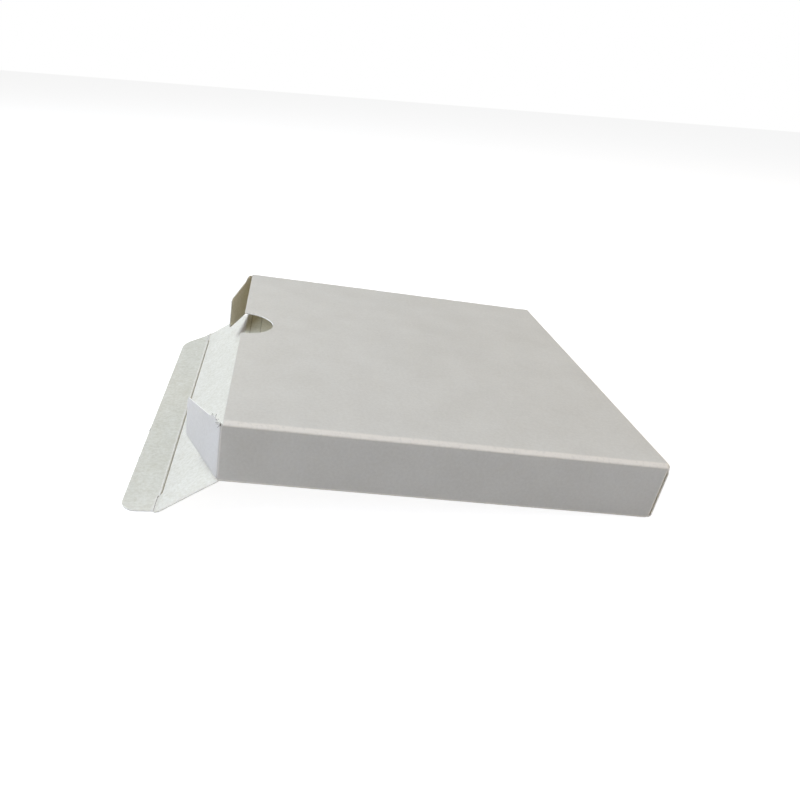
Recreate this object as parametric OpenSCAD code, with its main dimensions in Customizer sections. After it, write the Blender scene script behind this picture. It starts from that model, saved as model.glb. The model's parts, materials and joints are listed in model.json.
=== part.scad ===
// Flat folding carton with tuck ends, empty and open at one end.
// The carton leans on its closed end. Its open end is propped up by the lid,
// which is folded back under it with its tongue flat on the table.
// Sheet axes: X runs from the open end to the closed end, Y from the near
// side wall to the far one, Z from the outside of the bottom panel upwards.

/* [Carton] */
// Length of the tube from the open end to the closed end
body_l = 150; // [110:1:220]
// Width of the two large panels, from side wall to side wall
body_d = 160; // [110:1:240]
// Outside height of the side walls
body_h = 22; // [18:0.5:40]
// Thickness of the folded board
board_t = 0.45; // [0.3:0.05:0.6]
// Outside radius of a rolled fold
fold_r = 1.2; // [0.9:0.1:1.5]
// Free gap between two layers of board that lie on each other
layer_gap = 0.12; // [0.05:0.01:0.2]

/* [Thumb notch] */
// Width of the half-round thumb notch in the top panel
notch_w = 24; // [16:1:30]
// Depth of the notch from the open edge
notch_depth = 12.6; // [8:0.2:18]
// Distance of the notch from the middle of the edge, towards the far side
notch_off = 7.5; // [-20:0.5:20]

/* [Glue seam] */
// Height of the glued flap inside the far side wall
seam_h = 13; // [8:0.5:15]
// Length of the slanted ends of the glued flap
seam_slant = 5; // [2:0.5:10]
// Distance of the far wall's cut edge above the bottom
seam_edge = 0.2; // [0.1:0.05:0.4]

/* [Dust flaps] */
// Length of a dust flap from its fold to its tip
flap_l = 28; // [16:0.5:34]
// Opening angle of the near dust flap, 90 is closed and 180 straight out
flap_near_open = 117; // [100:0.5:150]
// Opening angle of the far dust flap
flap_far_open = 104.5; // [100:0.5:150]
// Length of the full-height shoulder next to the fold
flap_shoulder = 4.5; // [3:0.5:6]
// Length of the curved step behind the shoulder
flap_step_l = 4.5; // [2:0.5:6]
// Drop of the upper edge over the step
flap_step_h = 1.8; // [0.5:0.1:3]
// Drop of the upper edge at the tip, measured from the shoulder
flap_top_drop = 5; // [3:0.1:6]
// Rise of the lower edge at the tip
flap_low_rise = 0.4; // [0.2:0.1:5]
// Size of the cut corners at the tip
flap_corner = 0.8; // [0.4:0.1:2]

/* [Lid] */
// Height of the lid panel from the hinge crease to the tongue crease
lid_h = 23.3; // [20:0.1:42]
// Slope of the lid panel against the table as it lies
lid_slope = 32.5; // [20:0.5:45]
// Length of the tuck tongue from its crease to its free edge
tongue_l = 12.5; // [11:0.5:20]
// Radius of a tongue's outer corners
tongue_r = 5.5; // [3:0.5:5.5]
// Radius of the lid tongue's far corner, which is cut away more
tongue_far_r = 14; // [6:1:16]
// Slant of the lid tongue's far side edge, where 0 is square to the crease
tongue_slant = 50; // [0:1:52]
// Distance of the lid panel's side edges from the side walls' outer faces
lid_inset = 0.4; // [0.2:0.1:1]
// Distance of a tongue's side edges from the side walls' outer faces
tongue_inset = 1; // [0.8:0.1:2]
// Running gap between the lid's root and the bottom panel's edge
hinge_gap = 0.1; // [0.05:0.01:0.2]
// Length of the straight part of the lock slits at both ends of the crease
slit_l = 7; // [4:0.5:10]
// Length of the slanted part, which leads each slit to the crease
slit_lead = 3; // [1:0.5:5]
// Width of the lock slits
slit_w = 0.3; // [0.2:0.05:0.5]
// Distance of the lock slits from the tongue crease
slit_jog = 1.2; // [0.8:0.1:2]
// Height of the raised bead along the tongue crease
bead_rise = 0.18; // [0.1:0.02:0.3]

/* [Closed end] */
// Distance of the end panel's side edges from the side walls' outer faces
end_inset = 0.35; // [0.2:0.05:0.6]
// Length of the tongue tucked in at the closed end
end_tongue_l = 13; // [11:0.5:20]

/* [Hidden] */
$fn = 48;

// Board colours: clay-coated outside and bare inside
outside_colour = [0.86, 0.86, 0.85];
inside_colour = [0.83, 0.83, 0.79];

// Cuts run past the faces by this much
over = 1;

// The lid's root turns about the middle of the board at the hinge crease
root_r = board_t / 2;
// The bottom panel's edge stands clear of the lid's root
hinge_edge = root_r + hinge_gap;

// The bead's round section keeps clear of the board's underside
bead_floor = 0.06;
bead_r = (board_t + bead_rise - bead_floor) / 2;

// Height of the hinge crease above the table
hinge_z = root_r + lid_h * sin(lid_slope);
// Lean of the carton, with its closed end's bottom edge on the table
hinge_reach = sqrt(body_l * body_l + root_r * root_r);
tilt = asin(hinge_z / hinge_reach) - atan2(root_r, body_l);

// Horizontal places along X, measured from the bottom edge of the closed end
hinge_back = -body_l * cos(tilt) + root_r * sin(tilt);
crease_back = hinge_back - lid_h * cos(lid_slope);
left_end = crease_back - tongue_l;
right_end = fold_r * (1 - cos(tilt)) + (body_h - fold_r) * sin(tilt);
// Place of that edge that puts the origin under the middle of the part
foot_x = -(left_end + right_end) / 2;

// Outer face of the dust flaps folded in at the closed end
inner_end = body_l - board_t - layer_gap;
// End of the plain tube, where the folds of the closed end begin
tube_end = inner_end - fold_r;
// Underside of the tongue tucked in at the closed end
end_tongue_z = board_t + layer_gap;
// Height range of the dust flaps at their folds, on the flat part of a wall
flap_low = max(2 * board_t + 2 * layer_gap, fold_r);
flap_high = body_h - max(board_t + 2 * layer_gap, fold_r);
// Knee of the step in a dust flap's upper edge, as shares of the step
step_knee = 0.45;
step_knee_drop = 0.35;
// The glued flap begins inside the rolled fold, at this share of its radius
// above the bottom, so that the two are one
seam_root = 0.4;
seam_low = fold_r * seam_root;
// Height of the glued flap's upright ends above the rolled fold
seam_end_h = 1;
seam_upright = fold_r + seam_end_h;

// Extrudes an outline in Y and Z along X
module along_x(length) {
    rotate([90, 0, 90]) linear_extrude(height = length) children();
}

// Extrudes an outline in X and Z along Y
module along_y(length) {
    translate([0, length, 0]) rotate([90, 0, 0]) linear_extrude(height = length) children();
}

// Rectangle with round corners
module round_rect(w, h, r) {
    translate([r, 0]) square([w - 2 * r, h]);
    translate([0, r]) square([w, h - 2 * r]);
    for (x = [r, w - r]) for (y = [r, h - r]) translate([x, y]) circle(r);
}

// Strip of board bent round a fold, between two angles at most 90 degrees apart
module bent_strip(from, to) {
    far = 2 * fold_r;
    mid = (from + to) / 2;
    intersection() {
        difference() {
            circle(fold_r);
            circle(fold_r - board_t);
        }
        polygon([[0, 0], far * [cos(from), sin(from)], far * [cos(mid), sin(mid)], far * [cos(to), sin(to)]]);
    }
}

// Section of the tube: rolled folds at three corners, glue seam at the fourth
module tube_section() {
    difference() {
        round_rect(body_d, body_h, fold_r);
        translate([board_t, board_t])
            round_rect(body_d - 2 * board_t, body_h - 2 * board_t, fold_r - board_t);
        translate([body_d - board_t - fold_r, -over])
            square([board_t + fold_r + over, fold_r + over]);
    }
    translate([body_d - board_t, seam_edge]) square([board_t, 2 * fold_r]);
    translate([body_d - board_t - fold_r, fold_r]) bent_strip(-90, 0);
}

// Flap glued to the inside of the far side wall
module seam_flap() {
    translate([0, body_d - 2 * board_t, 0])
        along_y(board_t)
            polygon([
                [0, seam_low], [tube_end, seam_low], [tube_end, seam_upright],
                [tube_end - seam_slant, seam_h], [seam_slant, seam_h], [0, seam_upright]
            ]);
}

// Thumb notch, cut through the top panel only
module notch_cut() {
    r = notch_w / 2;
    cut_h = board_t + 2 * over;
    translate([0, body_d / 2 + notch_off, body_h - board_t - over]) {
        translate([notch_depth - r, 0, 0]) cylinder(r = r, h = cut_h);
        if (notch_depth > r)
            translate([-over, -r, 0]) cube([notch_depth - r + over, notch_w, cut_h]);
    }
}

// Room for the lid's root, along the whole hinge crease
module hinge_cut() {
    translate([-over, -over, -over]) cube([over + hinge_edge, body_d + 2 * over, over + fold_r]);
}

// Plan of a dust flap's board: a short piece inside the wall that it hangs on,
// the rolled fold round [0, 0], and the flap behind the fold
module flap_plan(bend) {
    inner_r = fold_r - board_t;
    reach = flap_l + over;
    difference() {
        union() {
            circle(fold_r);
            translate([0, -fold_r]) square([fold_r, fold_r]);
            rotate(-bend) translate([-flap_l, -fold_r]) square([flap_l, fold_r]);
        }
        circle(inner_r);
        translate([0, -inner_r]) square(2 * fold_r);
        rotate(-bend) translate([-reach, -inner_r]) square([reach, 2 * fold_r]);
    }
}

// Waste above and below a dust flap, with its fold at zero
module flap_waste() {
    shoulder_end = flap_shoulder + flap_step_l;
    low_tip = flap_low + flap_low_rise;
    high_tip = flap_high - flap_top_drop;
    corner_in = flap_l - flap_corner;
    polygon([
        [0, flap_low], [corner_in, low_tip], [flap_l, low_tip + flap_corner],
        [flap_l + over, low_tip + flap_corner], [flap_l + over, flap_low - over], [0, flap_low - over]
    ]);
    polygon([
        [flap_shoulder, flap_high],
        [flap_shoulder + flap_step_l * step_knee, flap_high - flap_step_h * step_knee_drop],
        [shoulder_end, flap_high - flap_step_h],
        [corner_in, high_tip],
        [flap_l, high_tip - flap_corner],
        [flap_l + over, high_tip - flap_corner],
        [flap_l + over, flap_high + over],
        [flap_shoulder, flap_high + over]
    ]);
}

// Dust flap with its fold, on the outer face of a side wall that ends at X = 0
// and comes from the positive side. It is opened by the given angle.
module dust_flap(open) {
    bend = 180 - open;
    difference() {
        translate([0, fold_r, flap_low])
            linear_extrude(height = flap_high - flap_low) flap_plan(bend);
        translate([0, fold_r, 0]) rotate([0, 0, -bend]) translate([0, -2 * fold_r, 0])
            mirror([1, 0, 0]) along_y(2 * fold_r) flap_waste();
    }
}

// The same dust flap on the far side wall
module far_side() {
    translate([0, body_d, 0]) mirror([0, 1, 0]) children();
}

// End panel with its fold from the top panel and the fold to its tongue
module end_panel_section() {
    translate([body_l - fold_r, body_h - fold_r]) bent_strip(0, 90);
    translate([body_l - board_t, end_tongue_z + fold_r])
        square([board_t, body_h - 2 * fold_r - end_tongue_z]);
    translate([body_l - fold_r, end_tongue_z + fold_r]) bent_strip(-90, 0);
    translate([tube_end, body_h - board_t]) square([body_l - fold_r - tube_end, board_t]);
}

// Tongue outline with two round outer corners, its crease at X = 0 and its
// free edge at X = -length, between two side edges. The far side edge starts
// at the crease and is cut at a slant. A far radius above half the length runs
// past the crease, where the caller cuts it off.
module tongue_outline(length, side_a, side_b, far_r = tongue_r, slant = 0) {
    near_x = tongue_r - length;
    near_y = side_a + tongue_r;
    far_x = far_r - length;
    far_y = side_b + far_x * tan(slant) - far_r / cos(slant);
    polygon([
        [0, side_a], [near_x, side_a], [-length, near_y], [-length, far_y],
        [far_x - far_r * sin(slant), far_y + far_r * cos(slant)], [0, side_b]
    ]);
    translate([near_x, near_y]) circle(tongue_r);
    translate([far_x, far_y]) circle(far_r);
}

// Closed end: end panel hinged on the top panel, its tongue tucked in along
// the bottom panel, and two dust flaps folded in behind it
module closed_end() {
    join = body_l - tube_end - fold_r;
    translate([0, end_inset, 0]) along_y(body_d - 2 * end_inset) end_panel_section();
    translate([tube_end - join, fold_r, body_h - board_t])
        cube([2 * join, body_d - 2 * fold_r, board_t]);
    translate([body_l - fold_r, 0, end_tongue_z])
        linear_extrude(height = board_t)
            tongue_outline(end_tongue_l, tongue_inset, body_d - board_t - tongue_inset);
    translate([tube_end, end_inset, 0])
        cube([body_l - tube_end, body_d - end_inset - board_t - fold_r, board_t]);
    closed_flap();
    far_side() closed_flap();
}

// Dust flap folded in by a right angle at the closed end
module closed_flap() {
    translate([tube_end, 0, 0]) mirror([1, 0, 0]) dust_flap(90);
}

module carton_blank() {
    difference() {
        union() {
            along_x(tube_end) tube_section();
            seam_flap();
        }
        notch_cut();
        hinge_cut();
    }
    dust_flap(flap_near_open);
    far_side() dust_flap(flap_far_open);
    closed_end();
}

// Folded and glued carton without its lid, leaning as it rests
module carton() {
    color(outside_colour)
        translate([foot_x, -body_d / 2, 0])
            rotate([0, tilt, 0])
                translate([-body_l, 0, 0]) carton_blank();
}

// Section of the lid in X and Z, with the tongue crease at X = 0 on the table
module lid_section() {
    translate([0, root_r]) {
        circle(root_r);
        rotate(lid_slope) {
            translate([0, -root_r]) square([lid_h, board_t]);
            translate([lid_h, 0]) circle(root_r);
        }
    }
    translate([-tongue_l, 0]) square([tongue_l, board_t]);
}

// Lock slit at the near end of the crease: straight from the side edge, then
// slanted towards the crease
module lock_slit() {
    bend = tongue_inset + slit_l;
    polygon([
        [-slit_jog - slit_w, tongue_inset - over], [-slit_jog, tongue_inset - over],
        [-slit_jog, bend], [0, bend + slit_lead], [-slit_w, bend + slit_lead],
        [-slit_jog - slit_w, bend]
    ]);
}

// Waste round the tongue, and the lock slits at both ends of its crease
module tongue_waste() {
    difference() {
        translate([-tongue_l - over, -over]) square([tongue_l + over, body_d + 2 * over]);
        tongue_outline(tongue_l, tongue_inset, body_d - tongue_inset, tongue_far_r, tongue_slant);
    }
    lock_slit();
    translate([0, body_d]) mirror([0, 1]) lock_slit();
}

// Lid panel and its tongue: one flat flap with a crease across it
module lid() {
    slit_end = tongue_inset + slit_l + slit_lead;
    color(inside_colour)
        translate([foot_x + crease_back, -body_d / 2, 0]) {
            difference() {
                translate([0, lid_inset, 0]) along_y(body_d - 2 * lid_inset) lid_section();
                translate([0, 0, -over]) linear_extrude(height = board_t + 2 * over) tongue_waste();
            }
            translate([0, slit_end, board_t + bead_rise - bead_r])
                along_y(body_d - 2 * slit_end) circle(bead_r);
        }
}

carton();
lid();
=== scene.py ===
"""A flat folding carton of white board, empty and open at one end."""

import json
import math

import bmesh
import bpy
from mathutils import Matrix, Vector, noise


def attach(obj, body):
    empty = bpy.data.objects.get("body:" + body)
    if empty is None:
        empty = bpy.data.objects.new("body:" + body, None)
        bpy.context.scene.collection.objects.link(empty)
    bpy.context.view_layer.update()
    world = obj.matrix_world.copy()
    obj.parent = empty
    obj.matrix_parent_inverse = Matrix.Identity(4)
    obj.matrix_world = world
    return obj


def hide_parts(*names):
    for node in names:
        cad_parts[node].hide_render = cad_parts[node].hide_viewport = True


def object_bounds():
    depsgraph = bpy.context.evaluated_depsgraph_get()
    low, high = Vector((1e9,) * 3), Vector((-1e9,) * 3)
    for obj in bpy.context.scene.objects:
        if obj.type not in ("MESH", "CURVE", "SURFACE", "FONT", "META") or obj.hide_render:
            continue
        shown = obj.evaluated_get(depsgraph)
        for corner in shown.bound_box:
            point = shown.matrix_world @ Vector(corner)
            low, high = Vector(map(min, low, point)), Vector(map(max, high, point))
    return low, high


bl_info = {
    "name": "Folding carton",
    "version": (1, 0, 0),
    "blender": (4, 5, 0),
    "location": "View3D > Sidebar > Carton",
    "description": "Builds the folded board of a flat carton with its lid laid back",
    "category": "Object",
}

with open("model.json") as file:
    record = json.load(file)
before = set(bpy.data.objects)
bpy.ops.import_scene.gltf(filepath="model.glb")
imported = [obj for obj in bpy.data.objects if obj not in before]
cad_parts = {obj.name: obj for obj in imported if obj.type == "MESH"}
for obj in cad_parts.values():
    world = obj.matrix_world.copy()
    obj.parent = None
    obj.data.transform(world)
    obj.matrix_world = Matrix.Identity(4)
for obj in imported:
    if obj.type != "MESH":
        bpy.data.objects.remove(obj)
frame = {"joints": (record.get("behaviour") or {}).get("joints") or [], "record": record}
CAD_BOX = [list(corner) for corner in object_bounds()]

MM = 0.001
RECORD = frame["record"]
CREASE = next(j for j in frame["joints"] if j["name"] == "lid_crease")
BASE = next(m for m in RECORD["mounts"] if m["name"] == "base_face")
# Middle of the board at the lid's crease, and the carton's lean
HINGE = Vector(CREASE["pos_m"])
LEAN = math.asin(-BASE["axis"][0])
DEPTH = (CAD_BOX[1][1] - CAD_BOX[0][1]) / MM

# Faces of the board, in the order of a piece's material slots
OUTSIDE, INSIDE, CUT = range(3)

# Rounding of the cut edges, in millimetres, and the angle past which a fold stays sharp
CARTON_EDGE, LID_EDGE = 0.05, 0.04
SHARP_ANGLE = math.radians(38)
# Waver of the large panels: its span, and its strength as a share of the bow
PANEL_SPAN, PANEL_WAVER = 34.0, 0.3
# Waver of the top's bevels: its span and height, and the middle and width of its strip
BEVEL_SPAN, BEVEL_WAVER = 5.0, 0.14
BEVEL_MIDDLE, BEVEL_STRIP = 1.6, 4
# Waver of the lid: its span and height, its slice of the noise, and the rise where it is full
LID_SPAN, LID_WAVER = 23.0, 0.1
LID_SLICE, LID_RISE = 7.0, 3.0
# Bow of the side walls, as a share of the bow of the top
WALL_BOW = 0.6
# Length of a nick along the tongue's free edge, in millimetres
NICK_W = 2.4
# Width of a square lamp, in metres
LAMP_W = 0.8


def length(name, text, size):
    """A size in millimetres as a property in metres."""
    return bpy.props.FloatProperty(
        name=name, description=text, default=size * MM, min=-1, max=10,
        unit="LENGTH", precision=5,
    )


def angle(name, text, degrees):
    """An angle in degrees as a property in radians."""
    return bpy.props.FloatProperty(
        name=name, description=text, default=math.radians(degrees), unit="ROTATION"
    )


def share(name, text, value):
    """A plain number from nothing to twenty as a property."""
    return bpy.props.FloatProperty(
        name=name, description=text, default=value, min=0, max=20, subtype="FACTOR"
    )


def linear(red, green, blue):
    """A colour of 0 to 255 as seen on a screen, as scene colour."""
    def channel(value):
        value /= 255
        return value / 12.92 if value <= 0.04045 else ((value + 0.055) / 1.055) ** 2.4
    return tuple(channel(value) for value in (red, green, blue))


def colour(name, text, red, green, blue):
    return bpy.props.FloatVectorProperty(
        name=name, description=text, default=linear(red, green, blue),
        min=0, max=1, size=3, subtype="COLOR",
    )


class CartonSizes(bpy.types.PropertyGroup):
    """Sizes of the tube, its thumb notch, its flaps and its closed end."""

    body_l: length("Length", "From the open end to the closed end", 150)
    body_d: length("Depth", "From side wall to side wall", DEPTH)
    body_h: length("Height", "Outside height of the side walls", 22)
    board_t: length("Board", "Thickness of the board", 0.45)
    fold_r: length("Fold radius", "Outside radius of a rolled fold", 1.2)
    layer_gap: length("Layer gap", "Gap between two layers of board", 0.12)
    crisp_r: length("Crisp radius", "Outside radius where a side wall meets the top's bevel", 0.55)
    soft_r: length("Soft radius", "Outside radius where the bevel runs into the top", 2.2)
    bevel_w: length("Bevel", "Flat part of the bevel between the two", 0.95)
    bevel_slope: angle("Bevel slope", "Slope of the bevel against the top", 29)
    bow: length("Bow", "How far the large panels bow", 0.3)
    notch_w: length("Notch width", "Width of the thumb notch", 24)
    notch_depth: length("Notch depth", "Depth of the thumb notch", 12.6)
    notch_off: length("Notch offset", "From the middle of the edge to the far side", 7.5)
    seam_h: length("Seam height", "Height of the glued flap", 13)
    seam_slant: length("Seam slant", "Length of the glued flap's slanted ends", 5)
    seam_edge: length("Seam edge", "Height of the far wall's cut edge", 0.2)
    flap_l: length("Dust flap", "Length of a dust flap", 28)
    near_open: angle("Near flap", "Opening of the near dust flap", 117)
    far_open: angle("Far flap", "Opening of the far dust flap", 104.5)
    flap_shoulder: length("Shoulder", "Full-height part of a dust flap", 4.5)
    flap_step_l: length("Step length", "Length of the step behind the shoulder", 4.5)
    flap_step_h: length("Step drop", "Drop over the step", 1.8)
    flap_ear: length("Ear", "Rise of the shoulder beside its fold", 0.6)
    flap_top_drop: length("Tip drop", "Drop of the upper edge at the tip", 5)
    flap_low_rise: length("Tip rise", "Rise of the lower edge at the tip", 0.4)
    flap_corner: length("Tip corner", "Cut corners at the tip", 0.8)
    end_inset: length("End inset", "From the end panel's sides to the walls", 0.35)
    end_tongue_l: length("End tongue", "Length of the tongue at the closed end", 13)
    tongue_inset: length("Tongue inset", "From a tongue's sides to the walls", 1)
    tongue_r: length("Tongue radius", "Radius of a tongue's corners", 5.5)
    score_first: length("First score", "From the hinge to a bead across the bottom", 2)
    score_second: length("Second score", "From the hinge to the other bead", 7)
    score_r: length("Score radius", "Radius of those beads", 0.24)
    score_rise: length("Score rise", "Height of those beads", 0.12)


class LidSizes(bpy.types.PropertyGroup):
    """Sizes of the lid, its tongue, its crease and its lock slits."""

    lid_h: length("Height", "From the hinge to the tongue's crease", 23.3)
    tongue_l: length("Tongue", "From the crease to the free edge", 12.5)
    far_r: length("Far radius", "Radius of the tongue's far corner", 14)
    far_slant: angle("Far slant", "Slant of the tongue's far side", 50)
    lid_inset: length("Inset", "From the lid's sides to the walls", 0.4)
    knee_r: length("Crease radius", "Radius in the middle of the board", 0.9)
    slit_w: length("Slit width", "Width of the lock slits and of the scored line", 0.22)
    slit_end: length("Slit end", "From the side wall to the slit's straight end", 8)
    jog_end: length("Jog end", "From the side wall to the slit's end at the crease", 11)
    slit_jog: length("Jog", "How far the slit lies off the crease", 1)
    groove_depth: length("Groove", "Depth of the scored line", 0.16)
    bead_off: length("Bead place", "From the scored line to the bead beside it", 0.45)
    bead_r: length("Bead radius", "Radius of the bead beside the crease", 0.28)
    bead_rise: length("Bead rise", "Height of that bead", 0.12)
    nick_first: length("First nick", "From the near side to a nick in the free edge", 31.5)
    nick_second: length("Second nick", "From the near side to the other nick", 53)


class BoardColours(bpy.types.PropertyGroup):
    """Colours of the board."""

    outside: colour("Outside", "Coated outer side", 207, 208, 205)
    outside_dark: colour("Outside grain", "Darker grain of that side", 192, 192, 188)
    inside: colour("Inside", "Bare inner side", 227, 228, 221)
    inside_dark: colour("Inside speckle", "Darker speckle of that side", 198, 197, 184)
    cut: colour("Cut edge", "Fresh cut fibres", 242, 242, 236)
    # Pale on the folds and beads: stretched coating, and partly a painted highlight
    worn_and_painted_light: colour("Fold", "Stretched coating on a fold, partly a painted highlight", 229, 227, 221)
    # Dark in the scored lines, fold hinges and bottom beads as painted shade; also the dirt of torn
    # fibres
    mark: colour("Mark", "Painted shade in the scores and hinges, and dirt of torn fibres", 112, 100, 80)
    torn: colour("Torn", "Darkest part of a torn fibre", 52, 45, 36)
    through: colour("Through", "Light that comes through the board", 255, 243, 214)


class StageSettings(bpy.types.PropertyGroup):
    """Camera, lamps and floor."""

    lens: bpy.props.FloatProperty(
        name="Lens", description="Focal length in millimetres", default=30.15
    )
    shift: bpy.props.FloatProperty(
        name="Shift", description="Sideways lens shift", default=0.0525
    )
    eye: bpy.props.FloatVectorProperty(
        name="Eye", description="Place of the camera", size=3,
        default=(-0.03861, -0.26197, 0.13508), subtype="TRANSLATION",
    )
    turn: bpy.props.FloatVectorProperty(
        name="Turn", description="Turn of the camera", size=3,
        default=tuple(math.radians(a) for a in (63.362, -4.255, -4.7)), subtype="EULER",
    )
    window: share("Window", "Power of the high light from the left, in watts", 12.6)
    low_window: share("Low window", "Power of the low, cool light from the left, in watts", 8.7)
    room: share("Room", "Power of the warm light from the right, in watts", 4.1)
    front: share("Front", "Power of the light from the front right, in watts", 5.5)
    sky: share("Sky", "Strength of the light all round", 0.06)


def sizes(group):
    """A group's lengths in millimetres and its other values as they are."""
    found = {}
    for name, prop in group.bl_rna.properties.items():
        if prop.type == "FLOAT":
            value = getattr(group, name)
            found[name] = value / MM if prop.unit == "LENGTH" else value
    return found


def steps(start, end, count):
    """Evenly spaced values, both ends included."""
    return [start + (end - start) * i / count for i in range(count + 1)]


def smooth(value):
    """A value held between nothing and one, with a soft start and end."""
    value = min(1.0, max(0.0, value))
    return value * value * (3 - 2 * value)


class Sheet:
    """Board as welded quads, where each corner has an outer and an inner place."""

    def __init__(self):
        self.outer, self.inner, self.fold = [], [], []
        self.index, self.faces = {}, []

    def corner(self, outer, inner, fold=0.0):
        key = tuple(round(value, 3) for value in outer)
        if key not in self.index:
            self.index[key] = len(self.outer)
            self.outer.append(Vector(outer))
            self.inner.append(Vector(inner))
            self.fold.append(fold)
        return self.index[key]

    def grid(self, rows, keep=lambda i, j: True):
        """Rows of stations, each station being the arguments of corner()."""
        ids = [[self.corner(*station) for station in row] for row in rows]
        for i in range(len(ids) - 1):
            for j in range(len(ids[i]) - 1):
                quad = (ids[i][j], ids[i][j + 1], ids[i + 1][j + 1], ids[i + 1][j])
                loop = list(dict.fromkeys(quad))
                if len(loop) > 2 and keep(i, j):
                    self.faces.append(loop)

    def rim(self):
        """Edges that only one face uses, in that face's order."""
        used = {}
        for face in self.faces:
            for a, b in zip(face, face[1:] + face[:1]):
                used.setdefault(frozenset((a, b)), []).append((a, b))
        return [pairs[0] for pairs in used.values() if len(pairs) == 1]

    def build(self, name, place, materials, bevel):
        """The board as a closed mesh, with its cut edges softened."""
        count = len(self.outer)
        mesh = bpy.data.meshes.new(name)
        faces = [(face, OUTSIDE) for face in self.faces]
        faces += [([v + count for v in reversed(face)], INSIDE) for face in self.faces]
        faces += [((b, a, a + count, b + count), CUT) for a, b in self.rim()]
        mesh.from_pydata(
            [place(point) for point in self.outer + self.inner], [], [f for f, _ in faces]
        )
        mesh.polygons.foreach_set("material_index", [m for _, m in faces])
        # Fold weight per corner: positive weights paint stretched coating and a painted highlight,
        # negative weights paint shade
        mark = mesh.attributes.new("fold", "FLOAT", "POINT")
        mark.data.foreach_set("value", self.fold * 2)
        for material in materials:
            mesh.materials.append(material)
        soften(mesh, bevel)
        piece = bpy.data.objects.new(name, mesh)
        bpy.context.scene.collection.objects.link(piece)
        return piece


def soften(mesh, bevel):
    """Turns faces outwards, rounds the cut edges and smooths what is bent."""
    work = bmesh.new()
    work.from_mesh(mesh)
    loose = [v for v in work.verts if not v.link_faces]
    bmesh.ops.delete(work, geom=loose, context="VERTS")
    bmesh.ops.recalc_face_normals(work, faces=work.faces)
    edges = [
        e for e in work.edges
        if len({f.material_index == CUT for f in e.link_faces}) == 2
    ]
    bmesh.ops.bevel(
        work, geom=edges, offset=bevel * MM, offset_type="OFFSET", segments=2,
        profile=0.5, affect="EDGES", clamp_overlap=True, material=CUT,
    )
    for face in work.faces:
        face.smooth = True
    work.to_mesh(mesh)
    work.free()
    mesh.set_sharp_from_angle(angle=SHARP_ANGLE)


def carton_place(s):
    """Puts a point of the carton's own frame, in millimetres, into the leaning carton."""
    along = Vector((math.cos(LEAN), 0, -math.sin(LEAN)))
    up = Vector((math.sin(LEAN), 0, math.cos(LEAN)))

    def place(point):
        x, y, z = shaped(point, s)
        shift = Vector((0, (y - s["body_d"] / 2) * MM, 0))
        return HINGE + shift + along * (x * MM) + up * ((z - s["board_t"] / 2) * MM)
    return place


def shaped(point, s):
    """The slight bends of a real carton: bowed panels and an uneven bevel."""
    x, y, z = point
    high = smooth((z - s["body_h"] / 2) / (s["body_h"] / 2 - 1))
    to_edge = max(0.0, min(y, s["body_d"] - y))
    in_x = max(0.0, min(1.0, x / s["body_l"]))
    in_y = max(0.0, min(1.0, y / s["body_d"]))
    in_z = max(0.0, min(1.0, z / s["body_h"]))
    middle = math.sin(math.pi * in_x)
    crown = middle * math.sin(math.pi * in_y)
    waver = noise.noise(Vector((x, y, z)) / PANEL_SPAN) * PANEL_WAVER
    strip = ridge((to_edge - BEVEL_MIDDLE) / BEVEL_STRIP)
    uneven = noise.noise(Vector((x / BEVEL_SPAN, 0, in_y))) * BEVEL_WAVER * strip
    z_shift = high * ((crown + waver) * s["bow"] + uneven)
    y_shift = middle * math.sin(math.pi * in_z) * s["bow"] * WALL_BOW * (2 * in_y - 1)
    return x, y + y_shift, z + z_shift


def tongue_side(from_edge, inset, radius, length=0.0, slant=0.0):
    """How far a tongue's side lies in, at a distance from its free edge."""
    if from_edge >= radius * (1 - math.sin(slant)):
        return inset + max(0.0, length - from_edge) * math.tan(slant)
    centre = inset + (length - radius) * math.tan(slant) + radius / math.cos(slant)
    return centre - math.sqrt(radius ** 2 - (radius - from_edge) ** 2)


def arc(cy, cz, s, start, end, count=6):
    """Stations of a rolled fold in a section: outer and inner place and fold weight."""
    found = []
    for a in steps(math.radians(start), math.radians(end), count):
        way = Vector((math.cos(a), math.sin(a)))
        outer = Vector((cy, cz)) + way * s["fold_r"]
        inner = Vector((cy, cz)) + way * (s["fold_r"] - s["board_t"])
        found.append((outer, inner, 1.0))
    return found


def top_fold(s):
    """Stations from the near side wall's top to the flat top panel.

    The fold is crisp at the wall and soft at the top, with a bevel between.
    """
    slope = s["bevel_slope"]
    headings = [(math.pi / 2, 0.0)]
    for radius, start, end in (
        (s["crisp_r"], math.pi / 2, slope), (s["soft_r"], slope, 0.0),
    ):
        turns = steps(start, end, 6)
        for before, after in zip(turns, turns[1:]):
            headings.append(((before + after) / 2, radius * (before - after)))
        if end == slope:
            headings.append((slope, s["bevel_w"]))
    rise = sum(math.sin(heading) * run for heading, run in headings)
    place = Vector((0.0, s["body_h"] - rise))
    found = []
    for heading, run in headings:
        place = place + Vector((math.cos(heading), math.sin(heading))) * run
        inner = place + Vector((math.sin(heading), -math.cos(heading))) * s["board_t"]
        # The weight paints the crisp round and the bevel pale: stretched coating, and partly a
        # painted highlight
        found.append((place, inner, smooth(heading / slope)))
    last = Vector((found[-1][0].x, s["body_h"]))
    found[-1] = (last, last - Vector((0, s["board_t"])), 0.0)
    return found


def far_side(stations, s):
    """The same stations of a section at the far side wall, in the other order."""
    return [
        (Vector((s["body_d"] - outer.x, outer.y)), Vector((s["body_d"] - inner.x, inner.y)), fold)
        for outer, inner, fold in stations
    ]


def wall_rows(s):
    """Heights at which both side walls and their dust flaps have a row of corners."""
    low = max(2 * s["board_t"] + 2 * s["layer_gap"], s["fold_r"] + 0.05)
    top = top_fold(s)[0][0].y
    return steps(low, top - 0.15, 10) + [top]


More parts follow.
